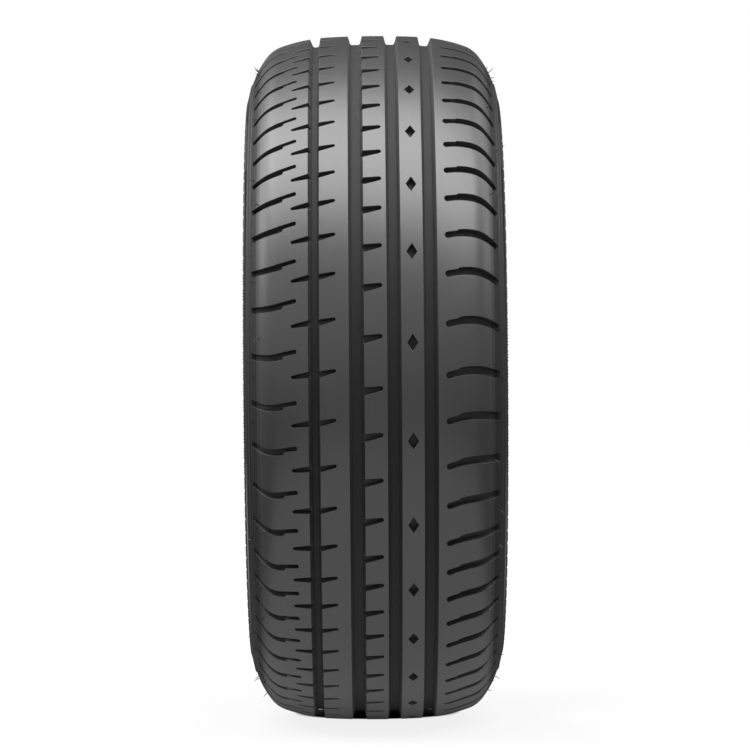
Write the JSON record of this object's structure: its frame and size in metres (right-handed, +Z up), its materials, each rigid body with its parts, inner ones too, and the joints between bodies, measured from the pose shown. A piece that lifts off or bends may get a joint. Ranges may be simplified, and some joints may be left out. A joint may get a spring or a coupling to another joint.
{
  "type": "car tyre",
  "caption": "Tubeless radial road tyre for a passenger car, with ribs and grooves round the tread, slotted shoulders and bead seats that press onto a rim.",
  "frame": {"origin": "centre of the tyre, on the axle line and midway between the two sidewalls", "axes": "+Y along the axle line towards the outboard sidewall, +Z up with the tyre standing on its tread, +X towards the viewer who looks straight at the tread"},
  "size_m": [0.634, 0.2294, 0.634],
  "materials": {
    "rubber": "matt black moulded rubber"
  },
  "bodies": {
    "root": {"tyre": "rubber"}
  },
  "joints": []
}
